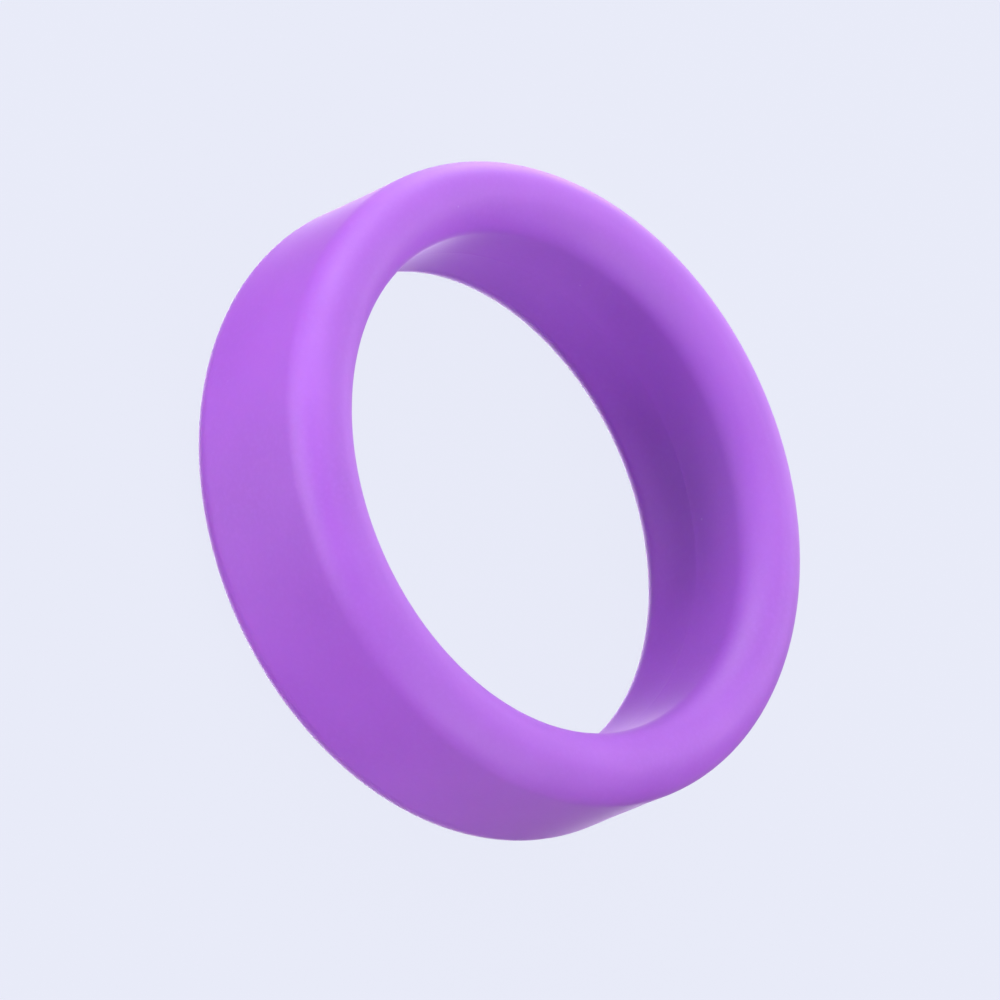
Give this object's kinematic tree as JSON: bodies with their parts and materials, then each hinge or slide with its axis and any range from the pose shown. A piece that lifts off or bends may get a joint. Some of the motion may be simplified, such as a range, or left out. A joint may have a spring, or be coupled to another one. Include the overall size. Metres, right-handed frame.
{
  "type": "silicone ring",
  "caption": "Soft one-piece silicone ring: a wide, stretchy band, open at each end, with large rounded rims and a smooth bore.",
  "frame": {"origin": "on the ring's axis, in the plane of the lower rim that the ring lies on", "axes": "+Z along the ring's axis, from the lower rim to the upper rim; the ring is the same all the way round, so +X and +Y are any two directions across it"},
  "size_m": [0.058, 0.058, 0.0165],
  "materials": {
    "purple_silicone": "satin, soft-touch silicone"
  },
  "bodies": {
    "root": {"silicone_ring": "purple_silicone"}
  },
  "joints": []
}
